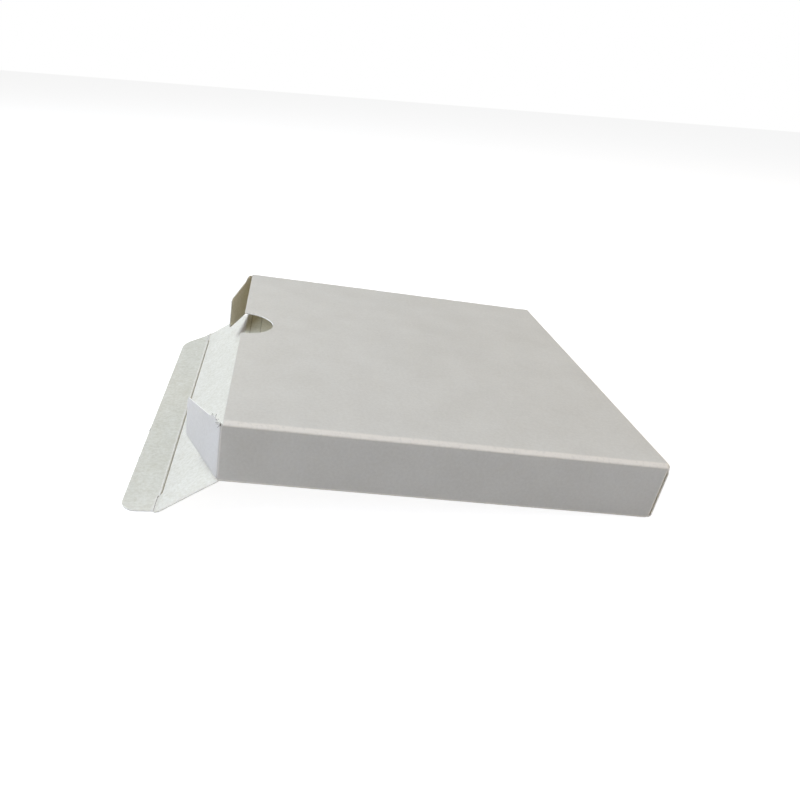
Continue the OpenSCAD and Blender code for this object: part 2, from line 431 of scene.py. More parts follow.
def notch_rows(s):
    """Rows across the thumb notch: place in Y and start of the top panel in X."""
    r = s["notch_w"] / 2
    middle = s["body_d"] / 2 + s["notch_off"]
    straight = s["notch_depth"] - r
    rows = [
        (middle + r * math.sin(a), straight + r * math.cos(a))
        for a in steps(-math.pi / 2, math.pi / 2, 36)
    ]
    # A few rows just beside the notch ease its two corners
    for away, start in ((0.03, 0.22), (0.1, 0.07), (0.3, 0.0)):
        rows.append((middle - r - away, start))
        rows.append((middle + r + away, start))
    return sorted(rows)


def across(start, end, spacing=3.6):
    """Values between two places, about one spacing apart."""
    return steps(start, end, max(1, round(abs(end - start) / spacing)))


def tube_rows(s):
    """Stations round the tube, each with the X where its row starts and ends."""
    t, r, d, h = s["board_t"], s["fold_r"], s["body_d"], s["body_h"]
    walls, fold = wall_rows(s), top_fold(s)
    flat = fold[-1][0].x
    rows = []

    def add(outer, inner, weight=0.0, start=0.0, end=tube_end(s)):
        rows.append((outer, inner, weight, start, end))

    for z in [s["seam_edge"]] + walls[:-1]:
        add((d, z), (d - t, z))
    add(*far_side(fold, s)[0][:2], 1.0)
    for outer, inner, weight in far_side(fold, s)[1:]:
        add(outer, inner, weight, end=s["body_l"] - r)
    notch = notch_rows(s)
    top = [(y, 0.0) for y in across(d - flat, notch[-1][0])[1:-1]]
    top += [(y, start) for y, start in reversed(notch)]
    top += [(y, 0.0) for y in across(notch[0][0], flat)[1:-1]]
    for y, start in top:
        add((y, h), (y, h - t), start=start, end=s["body_l"] - r)
    for outer, inner, weight in reversed(fold[1:]):
        add(outer, inner, weight, end=s["body_l"] - r)
    add(*fold[0][:2], 1.0)
    for z in reversed(walls[:-1]):
        add((0, z), (t, z))
    for outer, inner, weight in arc(r, r, s, 180, 270):
        add(outer, inner, weight)
    for y in across(r, d - t - r)[1:-1]:
        add((y, 0), (y, t))
    for outer, inner, weight in arc(d - t - r, r, s, 270, 360):
        add(outer, inner, weight)
    upright = r + 1
    for z in steps(upright, s["seam_h"], 4):
        slant = s["seam_slant"] * (z - upright) / (s["seam_h"] - upright)
        add((d - t, z), (d - 2 * t, z), start=slant, end=tube_end(s) - slant)
    return rows


def tube_columns(count=40):
    """Shares of the tube's length, closer together at its ends."""
    fine = [0, 0.001, 0.004, 0.01, 0.02, 0.036]
    return fine + steps(0.06, 0.98, count) + [0.992, 1.0]


def tube_end(s):
    """Where the side walls and the glued flap end, just inside the end panel."""
    return s["body_l"] - s["board_t"] - s["layer_gap"] - s["fold_r"]


def add_tube(sheet, s):
    """Four panels, their folds and the glued flap."""
    grid = []
    for outer, inner, fold, start, end in tube_rows(s):
        row = []
        for part in tube_columns():
            x = start + part * (end - start)
            row.append(((x, *outer), (x, *inner), fold))
        grid.append(row)
    sheet.grid(grid)


def dust_flap(s, opening, side, closed):
    """Rows of a dust flap, from its fold to its tip.

    side is 0 for the near wall and 1 for the far one, and closed is true at
    the closed end, where the flap is folded in behind the end panel.
    """
    t, r = s["board_t"], s["fold_r"]
    bend = math.pi - opening
    heights = wall_rows(s)
    low, high = heights[0], heights[-1]
    stations = []
    # Fold weights round the hinge: pale for stretched coating and a painted highlight, the negative
    # one a painted shade line in the hinge
    marks = (0.0, 0.8, 0.9, -0.6, 0.7, 0.3, 0.0)
    for a, mark in zip(steps(0, bend, len(marks) - 1), marks):
        way = Vector((-math.sin(a), -math.cos(a)))
        centre = Vector((0, r))
        stations.append((centre + way * r, centre + way * (r - t), 0.0, mark))
    base_outer, base_inner = stations[-1][:2]
    way = Vector((-math.cos(bend), math.sin(bend)))
    knee = s["flap_shoulder"] + s["flap_step_l"]
    tip = s["flap_l"] - s["flap_corner"]
    places = steps(0, s["flap_shoulder"], 3)[1:]
    places += steps(s["flap_shoulder"], knee, 6)[1:]
    places += steps(knee, tip, 7)[1:] + [s["flap_l"]]
    for place in places:
        stations.append((base_outer + way * place, base_inner + way * place, place, 0.0))

    def edge(place):
        """Lower and upper height of the flap at a distance from its fold."""
        lower = low + s["flap_low_rise"] * min(1.0, place / tip)
        step = smooth((place - s["flap_shoulder"]) / s["flap_step_l"])
        ear = 0.0 if closed else s["flap_ear"] * smooth(place / 1.2)
        upper = high + ear - s["flap_step_h"] * step
        beyond = max(0.0, min(1.0, (place - knee) / (tip - knee)))
        upper -= (s["flap_top_drop"] - s["flap_step_h"]) * beyond
        cut = max(0.0, place - tip)
        return lower + cut, upper - cut

    def put(point, z):
        x, y = point
        if closed:
            x = tube_end(s) - x
        if side:
            y = s["body_d"] - y
        return (x, y, z)

    rows = []
    for z in heights:
        part = (z - low) / (high - low)
        row = []
        for outer, inner, place, mark in stations:
            bottom, top = edge(place)
            level = bottom + part * (top - bottom)
            row.append((put(outer, level), put(inner, level), mark))
        rows.append(row)
    return rows


def add_closed_end(sheet, s):
    """End panel with its tongue, and the bottom panel's end below them.

    The end panel starts on the section of the top panel and its bevels.
    """
    t, r, h, d = s["board_t"], s["fold_r"], s["body_h"], s["body_d"]
    end, low = s["body_l"] - r, t + s["layer_gap"]
    rows = tube_rows(s)
    section = sorted(
        (outer[0], outer[1]) for outer, _, _, _, stop in rows
        if stop == end and s["end_inset"] <= outer[0] <= d - s["end_inset"]
    )
    first, last = section[0][0], section[-1][0]
    columns = [((y - first) / (last - first), h - z) for y, z in section]
    path = [(outer, inner, fold, None, 1.0) for outer, inner, fold in arc(end, h - r, s, 90, 0)]
    for z in steps(h - r, low + r, 8)[1:-1]:
        path.append(((end + r, z), (end + r - t, z), 0.0, s["end_inset"], 0.0))
    for outer, inner, fold in arc(end, low + r, s, 0, -90):
        path.append((outer, inner, fold, s["end_inset"], 0.0))
    reach, radius = s["end_tongue_l"], s["tongue_r"]
    for along in [1.0] + across(2.0, reach - radius, 2)[:-1] + rounded(reach, radius):
        inset = tongue_side(reach - along, s["tongue_inset"], radius)
        path.append(((end - along, low), (end - along, low + t), 0.0, inset, 0.0))
    grid = []
    for outer, inner, fold, inset, lowered in path:
        side = first if inset is None else inset
        grid.append([
            ((outer[0], side + w * (d - 2 * side), outer[1] - drop * lowered),
             (inner[0], side + w * (d - 2 * side), inner[1] - drop * lowered), fold)
            for w, drop in columns
        ])
    sheet.grid(grid)
    floor = sorted({round(outer[0], 6) for outer, _, _, _, _ in rows if abs(outer[1]) < 1e-6})
    sheet.grid([
        [((x, y, 0), (x, y, t), 0.0) for y in floor]
        for x in steps(tube_end(s), s["body_l"], 3)
    ])


def rounded(reach, radius, count=10):
    """Distances from a tongue's crease that make its round corners even."""
    return [
        reach - radius * (1 - math.sin(a)) for a in steps(0, math.pi / 2, count)
    ]


def lid_line(s, lid):
    """The lid's middle line in X and Z from the tongue's edge to the hinge.

    Each station has its distance from the crease, its place and its normal,
    in millimetres, measured from the crease on the table. The second value
    is the number of the station where the scored line starts.
    """
    t = s["board_t"]
    rise = HINGE.z / MM - t / 2
    slope = math.asin(rise / lid["lid_h"])
    tangent = lid["knee_r"] * math.tan(slope / 2)
    line = []
    reach, radius = lid["tongue_l"], s["tongue_r"]
    score = tangent + lid["slit_w"]
    flat = rounded(reach, radius) + across(score + 0.1, reach - radius, 0.5)[:-1] + [score]
    for along in sorted(flat, reverse=True):
        line.append((-along, Vector((-along, t / 2)), Vector((0, 1))))
    knee = len(line) - 1
    for a in steps(0, slope, 5):
        centre = Vector((-tangent, t / 2 + lid["knee_r"]))
        way = Vector((math.sin(a), -math.cos(a)))
        line.append((-tangent + lid["knee_r"] * a, centre + way * lid["knee_r"], -way))
    up = Vector((math.cos(slope), math.sin(slope)))
    normal = Vector((-math.sin(slope), math.cos(slope)))
    for along in across(tangent + 0.4, lid["lid_h"], 0.9):
        line.append((along, Vector((0, t / 2)) + up * along, normal))
    return line, knee


def add_lid(sheet, s, lid):
    """Lid panel, scored crease, tongue and two lock slits."""
    t, d, reach = s["board_t"], s["body_d"], lid["tongue_l"]
    line, knee = lid_line(s, lid)
    slit, ramp = lid["slit_end"] / d, lid["jog_end"] / d
    near = steps(0, slit, 8) + steps(slit, ramp, 6)[1:]
    shares = near + steps(ramp, 1 - ramp, 60)[1:-1] + [1 - w for w in reversed(near)]

    def jog(w):
        return max(0.0, min(1.0, (ramp - min(w, 1 - w)) / (ramp - slit)))

    def mark(i):
        """Painted shade in the scored line; pale on the bead beside it, stretched coating and partly
        a painted highlight.
        """
        if i in (knee, knee + 1):
            return -0.75
        away = abs(line[i][0] - line[knee][0])
        return 0.95 * smooth(1.5 - away) if i < knee else 0.4 * smooth(1 - away)

    def station(i, w):
        along, middle, normal = line[i]
        low = high = lid["lid_inset"]
        if i <= knee:
            low = tongue_side(reach + along, s["tongue_inset"], s["tongue_r"])
            high = tongue_side(
                reach + along, s["tongue_inset"], lid["far_r"], reach, lid["far_slant"]
            )
        y = low + w * (d - low - high)
        pull = jog(w) * lid["slit_jog"] * smooth(1 - abs(i - knee - 0.5) / 8)
        groove = lid["groove_depth"] * (1 - jog(w)) if i in (knee, knee + 1) else 0.0
        place = Vector((middle.x - pull, middle.y))
        top = place + normal * (t / 2 - groove)
        under = place - normal * (t / 2)
        return ((under.x, y, under.y), (top.x, y, top.y), mark(i))

    grid = [[station(i, w) for w in shares] for i in range(len(line))]

    def keep(i, j):
        return i != knee or jog((shares[j] + shares[j + 1]) / 2) < 0.35

    sheet.grid(grid, keep)
    return line


def ridge(value):
    """One at zero, falling smoothly to nothing at one half either way."""
    return smooth(1 - abs(value) * 2)


def lid_place(s, line):
    """Puts a point of the lid, in millimetres from its crease, into the scene."""
    hinge = line[-1][1]

    def place(point):
        x, y, z = point
        waver = noise.noise(Vector((x, y, LID_SLICE)) / LID_SPAN) * LID_WAVER
        lift = waver * smooth(z / LID_RISE)
        return Vector((
            HINGE.x + (x - hinge.x) * MM,
            (y - s["body_d"] / 2) * MM,
            HINGE.z + (z - hinge.y + lift) * MM,
        ))
    return place


class CARTON_OT_board(bpy.types.Operator):
    """Folds the carton's board: tube, glued flap, dust flaps and closed end"""

    bl_idname = "carton.board"
    bl_label = "Carton board"

    def execute(self, context):
        s = sizes(context.scene.carton_sizes)
        sheet = Sheet()
        add_tube(sheet, s)
        for side, opening in enumerate((s["near_open"], s["far_open"])):
            sheet.grid(dust_flap(s, opening, side, False))
            sheet.grid(dust_flap(s, math.pi / 2, side, True))
        add_closed_end(sheet, s)
        faces = board_materials(context)
        board = sheet.build("carton_board", carton_place(s), faces, CARTON_EDGE)
        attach(board, "carton")
        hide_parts("carton")
        return {"FINISHED"}


class CARTON_OT_lid(bpy.types.Operator):
    """Folds the lid back on the table, with its tongue and lock slits"""

    bl_idname = "carton.lid"
    bl_label = "Lid"

    def execute(self, context):
        s = sizes(context.scene.carton_sizes)
        lid = sizes(context.scene.carton_lid)
        sheet = Sheet()
        line = add_lid(sheet, s, lid)
        faces = board_materials(context)
        board = sheet.build("lid_board", lid_place(s, line), faces, LID_EDGE)
        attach(board, "lid")
        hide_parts("lid")
        return {"FINISHED"}


class CARTON_OT_scores(bpy.types.Operator):
    """Adds the bead beside the lid's crease, pale with stretched coating and a painted highlight,
    and the beads across the bottom panel, darkened with painted shade
    """

    bl_idname = "carton.scores"
    bl_label = "Scored beads"

    def execute(self, context):
        s = sizes(context.scene.carton_sizes)
        lid = sizes(context.scene.carton_lid)
        line, knee = lid_line(s, lid)
        bare = board_materials(context)[INSIDE]
        sunk = s["board_t"] + lid["bead_rise"] - lid["bead_r"]
        x = line[knee][1].x - lid["bead_off"]
        reach = steps(lid["slit_end"] + 1, s["body_d"] - 3, 40)
        put = lid_place(s, line)
        # Fold weight 0.9 paints this bead pale: stretched coating and a painted highlight
        bead = grow("crease_bead", bead_group(), [[put((x, y, sunk)) for y in reach]], {
            "Material": bare, "Wear": 0.9, "Radius": lid["bead_r"] * MM,
        })
        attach(bead, "lid")
        put = carton_place(s)
        reach = steps(s["fold_r"] + 0.4, s["body_d"] - s["fold_r"] - 1, 40)
        sunk = s["board_t"] + s["score_rise"] - s["score_r"]
        paths = [
            [put((x, y, sunk)) for y in reach] for x in (s["score_first"], s["score_second"])
        ]
        # A negative fold weight darkens the bottom beads with painted shade
        beads = grow("bottom_beads", bead_group(), paths, {
            "Material": bare, "Wear": -0.5, "Radius": s["score_r"] * MM,
        })
        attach(beads, "carton")
        return {"FINISHED"}


class CARTON_OT_fibres(bpy.types.Operator):
    """Adds torn fibres at the near dust flap and dark nicks on the tongue's free edge"""

    bl_idname = "carton.fibres"
    bl_label = "Torn fibres"

    def execute(self, context):
        s = sizes(context.scene.carton_sizes)
        lid = sizes(context.scene.carton_lid)
        torn = torn_material(context)
        put = carton_place(s)
        edge = dust_flap(s, s["near_open"], 0, False)[-1]
        # The flap's upper edge: round most of its fold, and from there to the middle of the step
        corner = [put(outer) for outer, _, _ in edge[:5]]
        shoulder = [put(outer) for outer, _, _ in edge[4:13]]
        fuzz = grow("flap_fibres", fibre_group(), [shoulder, corner], {
            "Material": torn, "Count": 13, "Length": 1.1 * MM, "Radius": 0.06 * MM,
        })
        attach(fuzz, "carton")
        line, _ = lid_line(s, lid)
        put = lid_place(s, line)
        nicks = [
            [put((-lid["tongue_l"], y, s["board_t"] * 0.9)) for y in steps(start, start + NICK_W, 4)]
            for start in (lid["nick_first"], lid["nick_second"])
        ]
        bits = grow("edge_nicks", fibre_group(), nicks, {
            "Material": torn, "Count": 5, "Length": 0.8 * MM, "Radius": 0.07 * MM,
            "Spread": 0.08 * MM, "Turn": 0.25, "Seed": 8,
        })
        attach(bits, "lid")
        return {"FINISHED"}


class Graph:
    """Short ways to add and join nodes of one tree."""

    def __init__(self, tree):
        self.tree = tree

    def add(self, kind, inputs=None, **settings):
        """A new node with its settings, where an input is a value or a socket to join."""
        node = self.tree.nodes.new(kind)
        for name, value in settings.items():
            setattr(node, name, value)
        for name, value in (inputs or {}).items():
            socket = node.inputs[name]
            if isinstance(value, bpy.types.NodeSocket):
                self.tree.links.new(value, socket)
            else:
                socket.default_value = value
        return node

    def math(self, operation, a, b=0.0):
        """The result of one sum on two values."""
        return self.add("ShaderNodeMath", {0: a, 1: b}, operation=operation).outputs[0]

    def mix(self, factor, a, b):
        """A colour between a and b."""
        node = self.add("ShaderNodeMix", data_type="RGBA")
        for name, value in (("Factor_Float", factor), ("A_Color", a), ("B_Color", b)):
            socket = next(i for i in node.inputs if i.identifier == name)
            if isinstance(value, bpy.types.NodeSocket):
                self.tree.links.new(value, socket)
            else:
                socket.default_value = value
        return next(o for o in node.outputs if o.identifier == "Result_Color")

    def ramp(self, value, low, high):
        """A value spread from nothing at low to one at high."""
        return self.add("ShaderNodeMapRange", {
            "Value": value, "From Min": low, "From Max": high,
        }).outputs["Result"]


def new_group(name, inputs, outputs, tree_kind="ShaderNodeTree"):
    """A node group with its sockets, built once."""
    tree = bpy.data.node_groups.new(name, tree_kind)
    for socket, kind, value in inputs:
        made = tree.interface.new_socket(socket, in_out="INPUT", socket_type=kind)
        if value is not None:
            made.default_value = value
    for socket, kind in outputs:
        tree.interface.new_socket(socket, in_out="OUTPUT", socket_type=kind)
    graph = Graph(tree)
    source = graph.add("NodeGroupInput")
    sink = graph.add("NodeGroupOutput")
    return tree, graph, source, sink


def path_group(name, inputs):
    """A geometry node group that makes a mesh along paths, and its curve."""
    tree, graph, source, sink = new_group(
        name,
        [("Path", "NodeSocketGeometry", None), ("Material", "NodeSocketMaterial", None)] + inputs,
        [("Mesh", "NodeSocketGeometry")],
        "GeometryNodeTree",
    )
    curve = graph.add("GeometryNodeMeshToCurve", {"Mesh": source.outputs["Path"]}).outputs[0]
    return tree, graph, source, sink, curve


def finish_group(graph, source, sink, made):
    """Ends a geometry node group: plain mesh, fold weight for the fold wear, painted highlight and
    painted shade, and material.
    """
    marked = graph.add("GeometryNodeStoreNamedAttribute", {
        "Geometry": made, "Name": "fold", "Value": source.outputs["Wear"],
    }, data_type="FLOAT", domain="POINT").outputs[0]
    whole = graph.add("GeometryNodeRealizeInstances", {"Geometry": marked}).outputs[0]
    covered = graph.add("GeometryNodeSetMaterial", {
        "Geometry": whole, "Material": source.outputs["Material"],
    }).outputs[0]
    graph.tree.links.new(covered, sink.inputs["Mesh"])


def bead_group():
    """A thin, slightly uneven bead along each path."""
    name = "Bead along a path"
    if name in bpy.data.node_groups:
        return bpy.data.node_groups[name]
    tree, graph, source, sink, curve = path_group(name, [
        ("Wear", "NodeSocketFloat", 0.0), ("Radius", "NodeSocketFloat", 0.28 * MM),
        ("Spacing", "NodeSocketFloat", 0.9 * MM), ("Waver", "NodeSocketFloat", 0.08 * MM),
    ])
    even = graph.add("GeometryNodeResampleCurve", {
        "Curve": curve, "Length": source.outputs["Spacing"],
    }, mode="LENGTH").outputs[0]
    place = graph.add("GeometryNodeInputPosition").outputs[0]
    cloud = graph.add("ShaderNodeTexNoise", {"Vector": place, "Scale": 260.0}).outputs["Color"]
    centred = graph.add("ShaderNodeVectorMath", {
        0: cloud, 1: (0.5, 0.5, 0.5),
    }, operation="SUBTRACT").outputs[0]
    shift = graph.add("ShaderNodeVectorMath", {
        0: centred, "Scale": source.outputs["Waver"],
    }, operation="SCALE").outputs[0]
    moved = graph.add("GeometryNodeSetPosition", {"Geometry": even, "Offset": shift}).outputs[0]
    ring = graph.add("GeometryNodeCurvePrimitiveCircle", {
        "Resolution": 8, "Radius": source.outputs["Radius"],
    }).outputs["Curve"]
    bead = graph.add("GeometryNodeCurveToMesh", {
        "Curve": moved, "Profile Curve": ring, "Fill Caps": True,
    }).outputs[0]
    finish_group(graph, source, sink, bead)
    return tree


def fibre_group():
    """Short bent fibres, torn out at random places along each path."""
    name = "Torn fibres"
    if name in bpy.data.node_groups:
        return bpy.data.node_groups[name]
    tree, graph, source, sink, curve = path_group(name, [
        ("Wear", "NodeSocketFloat", 0.0), ("Count", "NodeSocketInt", 12),
        ("Length", "NodeSocketFloat", 1.0 * MM), ("Radius", "NodeSocketFloat", 0.04 * MM),
        ("Spread", "NodeSocketFloat", 0.15 * MM), ("Turn", "NodeSocketFloat", 1.2),
        ("Seed", "NodeSocketInt", 3),
    ])

    def random_vector(reach, seed_shift):
        low = graph.math("MULTIPLY", reach, -1.0)
        seed = graph.math("ADD", source.outputs["Seed"], seed_shift)
        node = graph.add("FunctionNodeRandomValue", {0: low, 1: reach, "Seed": seed},
                         data_type="FLOAT_VECTOR")
        return node.outputs[0]

    points = graph.add("GeometryNodeCurveToPoints", {
        "Curve": curve, "Count": source.outputs["Count"],
    }, mode="COUNT")
    moved = graph.add("GeometryNodeSetPosition", {
        "Geometry": points.outputs["Points"], "Offset": random_vector(source.outputs["Spread"], 1),
    }).outputs[0]
    turn = graph.add("FunctionNodeEulerToRotation", {
        0: random_vector(source.outputs["Turn"], 2),
    }).outputs[0]
    heading = graph.add("FunctionNodeRotateRotation", {
        "Rotation": points.outputs["Rotation"], "Rotate By": turn,
    }, rotation_space="LOCAL").outputs[0]
    reach = source.outputs["Length"]
    half, bend = graph.math("MULTIPLY", reach, 0.5), graph.math("MULTIPLY", reach, 0.25)
    spine = graph.add("GeometryNodeCurveQuadraticBezier", {
        "Resolution": 4, "Start": (0.0, 0.0, 0.0),
        "Middle": graph.add("ShaderNodeCombineXYZ", {"X": bend, "Z": half}).outputs[0],
        "End": graph.add("ShaderNodeCombineXYZ", {"Z": reach}).outputs[0],
    }).outputs[0]
    ring = graph.add("GeometryNodeCurvePrimitiveCircle", {
        "Resolution": 5, "Radius": source.outputs["Radius"],
    }).outputs["Curve"]
    fibre = graph.add("GeometryNodeCurveToMesh", {
        "Curve": spine, "Profile Curve": ring, "Fill Caps": True,
    }).outputs[0]
    size = graph.add("FunctionNodeRandomValue", {
        2: 0.35, 3: 1.0, "Seed": source.outputs["Seed"],
    }, data_type="FLOAT").outputs[1]
    strewn = graph.add("GeometryNodeInstanceOnPoints", {
        "Points": moved, "Instance": fibre, "Rotation": heading, "Scale": size,
    }).outputs[0]
    finish_group(graph, source, sink, strewn)
    return tree


def grow(name, tree, paths, values):
    """Runs a geometry node group along paths and gives its result as a plain mesh."""
    mesh = bpy.data.meshes.new(name)
    points, edges = [], []
    for path in paths:
        edges += [(len(points) + i, len(points) + i + 1) for i in range(len(path) - 1)]
        points += path
    mesh.from_pydata(points, edges, [])
    carrier = bpy.data.objects.new(name + "_path", mesh)
    bpy.context.scene.collection.objects.link(carrier)
    modifier = carrier.modifiers.new("grow", "NODES")
    modifier.node_group = tree
    for item in tree.interface.items_tree:
        if item.item_type == "SOCKET" and item.in_out == "INPUT" and item.name in values:
            modifier[item.identifier] = values[item.name]
    depsgraph = bpy.context.evaluated_depsgraph_get()
    made = bpy.data.meshes.new_from_object(carrier.evaluated_get(depsgraph), depsgraph=depsgraph)
    bpy.data.objects.remove(carrier)
    work = bmesh.new()
    work.from_mesh(made)
    bmesh.ops.recalc_face_normals(work, faces=work.faces)
    for face in work.faces:
        face.smooth = True
    work.to_mesh(made)
    work.free()
    made.name = name
    piece = bpy.data.objects.new(name, made)
    bpy.context.scene.collection.objects.link(piece)
    return piece


def grain_group():
    """Paper grain: fine fibres over soft clouds, as a mask and as a height."""
    name = "Board grain"
    if name in bpy.data.node_groups:
        return bpy.data.node_groups[name]
    tree, graph, source, sink = new_group(
        name,
        [("Fibre", "NodeSocketFloat", 900.0), ("Cloud", "NodeSocketFloat", 90.0),
         ("Clouding", "NodeSocketFloat", 0.4)],
        [("Mask", "NodeSocketFloat"), ("Height", "NodeSocketFloat")],
    )
    place = graph.add("ShaderNodeTexCoord").outputs["Object"]
    fine = graph.add("ShaderNodeTexNoise", {
        "Vector": place, "Scale": source.outputs["Fibre"], "Detail": 5.0, "Roughness": 0.65,
    }).outputs["Fac"]
    soft = graph.add("ShaderNodeTexNoise", {
        "Vector": place, "Scale": source.outputs["Cloud"], "Detail": 3.0, "Roughness": 0.5,
    }).outputs["Fac"]
    sharp = graph.ramp(fine, 0.32, 0.68)
    clouds = graph.ramp(soft, 0.3, 0.7)
    part = graph.math("MULTIPLY", clouds, source.outputs["Clouding"])
    rest = graph.math("SUBTRACT", 1.0, source.outputs["Clouding"])
    mask = graph.math("ADD", part, graph.math("MULTIPLY", sharp, rest))
    graph.tree.links.new(mask, sink.inputs["Mask"])
    graph.tree.links.new(fine, sink.inputs["Height"])
    return tree


def wear_and_painted_light_group():
    """Stretched coating along folds with a painted highlight, and painted shade in the scores and
    hinges, both broken up by noise.
    """
    name = "Fold wear"
    if name in bpy.data.node_groups:
        return bpy.data.node_groups[name]
    tree, graph, source, sink = new_group(
        name,
        [("Amount", "NodeSocketFloat", 0.7), ("Break", "NodeSocketFloat", 900.0)],
        [("Pale", "NodeSocketFloat"), ("Dark", "NodeSocketFloat")],
    )
    place = graph.add("ShaderNodeTexCoord").outputs["Object"]
    fold = graph.add("ShaderNodeAttribute", attribute_name="fold").outputs["Fac"]
    broken = graph.add("ShaderNodeTexNoise", {
        "Vector": place, "Scale": source.outputs["Break"], "Detail": 5.0, "Roughness": 0.6,
    }).outputs["Fac"]
    uneven = graph.ramp(broken, 0.15, 0.5)
    # Pale: stretched coating with a painted highlight where the fold weight is positive; dark:
    # painted shade where it is negative
    pale = graph.math("MAXIMUM", fold, 0.0)
    pale = graph.math("MULTIPLY", pale, graph.math("MULTIPLY", uneven, source.outputs["Amount"]))
    dark = graph.math("MULTIPLY", graph.math("MINIMUM", fold, 0.0), -1.0)
    dark = graph.math("MULTIPLY", graph.ramp(dark, 0.2, 0.9), graph.ramp(broken, 0.1, 0.45))
    graph.tree.links.new(pale, sink.inputs["Pale"])
    graph.tree.links.new(dark, sink.inputs["Dark"])
    return tree


def rgba(value):
    """A colour of three parts with full cover."""
    return (*value, 1.0)


def board_material(name, light, dark, colours, look):
    """One face of the board. look holds its grain, roughness, bump, and its fold wear with painted
    highlight and shade.
    """
    if name in bpy.data.materials:
        return bpy.data.materials[name]
    material = bpy.data.materials.new(name)
    material.use_nodes = True
    material.node_tree.nodes.clear()
    graph = Graph(material.node_tree)
    grain = graph.add("ShaderNodeGroup", node_tree=grain_group())
    grain.inputs["Fibre"].default_value = look["fibre"]
    grain.inputs["Cloud"].default_value = look["cloud"]
    grain.inputs["Clouding"].default_value = look["clouding"]
    wear_and_painted_light = graph.add("ShaderNodeGroup", node_tree=wear_and_painted_light_group())
    wear_and_painted_light.inputs["Amount"].default_value = look["wear_and_painted_light"]
    base = graph.mix(grain.outputs["Mask"], rgba(dark), rgba(light))
    # Pale folds: stretched coating and a painted highlight
    worn_and_painted_light = graph.mix(wear_and_painted_light.outputs["Pale"], base, rgba(colours.worn_and_painted_light))
    # Dark scores and hinges: painted shade
    worn_and_painted_light = graph.mix(wear_and_painted_light.outputs["Dark"], worn_and_painted_light, rgba(colours.mark))
    rough = graph.add("ShaderNodeMapRange", {
        "Value": grain.outputs["Mask"],
        "To Min": look["rough"] + 0.06, "To Max": look["rough"] - 0.06,
    }).outputs["Result"]
    bump = graph.add("ShaderNodeBump", {
        "Height": grain.outputs["Height"], "Strength": look["bump"], "Distance": 0.0001,
    })
    shader = graph.add("ShaderNodeBsdfPrincipled", {
        "Base Color": worn_and_painted_light, "Roughness": rough, "Normal": bump.outputs["Normal"],
        "Specular IOR Level": look["gloss"],
    })
    glow = graph.add("ShaderNodeBsdfTranslucent", {"Color": rgba(colours.through)})
    mixed = graph.add("ShaderNodeMixShader", {"Fac": look["through"]})
    graph.tree.links.new(shader.outputs["BSDF"], mixed.inputs[1])
    graph.tree.links.new(glow.outputs["BSDF"], mixed.inputs[2])
    output = graph.add("ShaderNodeOutputMaterial")
    graph.tree.links.new(mixed.outputs[0], output.inputs["Surface"])
    return material


def board_materials(context):
    """Outer side, inner side and cut edge of the board."""
    c = context.scene.carton_colours
    return [
        board_material("coated_outside", c.outside, c.outside_dark, c, {
            "fibre": 950.0, "cloud": 60.0, "clouding": 0.4, "wear_and_painted_light": 0.95,
            "rough": 0.55, "bump": 0.18, "gloss": 0.3, "through": 0.2,
        }),
        board_material("bare_inside", c.inside, c.inside_dark, c, {
            "fibre": 900.0, "cloud": 160.0, "clouding": 0.25, "wear_and_painted_light": 0.8,
            "rough": 0.86, "bump": 0.5, "gloss": 0.15, "through": 0.2,
        }),
        board_material("cut_edge", c.cut, c.inside, c, {
            "fibre": 1500.0, "cloud": 300.0, "clouding": 0.3, "wear_and_painted_light": 0.0,
            "rough": 0.92, "bump": 0.6, "gloss": 0.1, "through": 0.1,
        }),
    ]


def torn_material(context):
    """Dark, dirty fibres where the board is torn."""
    c = context.scene.carton_colours
    return board_material("torn_fibre", c.mark, c.torn, c, {
        "fibre": 1800.0, "cloud": 400.0, "clouding": 0.5, "wear_and_painted_light": 0.0,
        "rough": 0.93, "bump": 0.4, "gloss": 0.1, "through": 0.0,
    })


def seen_directly(graph):
    """One for rays that look, mirror or pass through, and nothing for the rest."""
    path = graph.add("ShaderNodeLightPath")
    seen = graph.math("MAXIMUM", path.outputs["Is Camera Ray"], path.outputs["Is Glossy Ray"])
    return graph.math("MAXIMUM", seen, path.outputs["Is Transmission Ray"])


def floor_material():
    """White to the eye, with the object's soft shadow kept."""
    material = bpy.data.materials.new("stage_floor")
    material.use_nodes = True
    material.node_tree.nodes.clear()
    graph = Graph(material.node_tree)
    seen = seen_directly(graph)
    plain = graph.add("ShaderNodeBsdfDiffuse", {"Color": (0.8, 0.8, 0.79, 1.0)})
    dim = graph.add("ShaderNodeBsdfDiffuse", {"Color": (0.3, 0.3, 0.3, 1.0)})
    glow = graph.add("ShaderNodeEmission", {"Strength": 0.9})
    lit = graph.add("ShaderNodeAddShader")
    graph.tree.links.new(dim.outputs[0], lit.inputs[0])
    graph.tree.links.new(glow.outputs[0], lit.inputs[1])
    mixed = graph.add("ShaderNodeMixShader", {"Fac": seen})
    graph.tree.links.new(plain.outputs[0], mixed.inputs[1])
    graph.tree.links.new(lit.outputs[0], mixed.inputs[2])
    output = graph.add("ShaderNodeOutputMaterial")
    graph.tree.links.new(mixed.outputs[0], output.inputs["Surface"])
    return material


def lamp(name, power, tint, place):
    """A square area lamp that faces the carton."""
    light = bpy.data.lights.new(name, "AREA")
    light.shape = "SQUARE"
    light.size = LAMP_W
    light.energy = power
    light.color = tint
    obj = bpy.data.objects.new(name, light)
    obj.location = place
    obj.rotation_euler = (-Vector(place)).to_track_quat("-Z", "Y").to_euler()
    bpy.context.scene.collection.objects.link(obj)


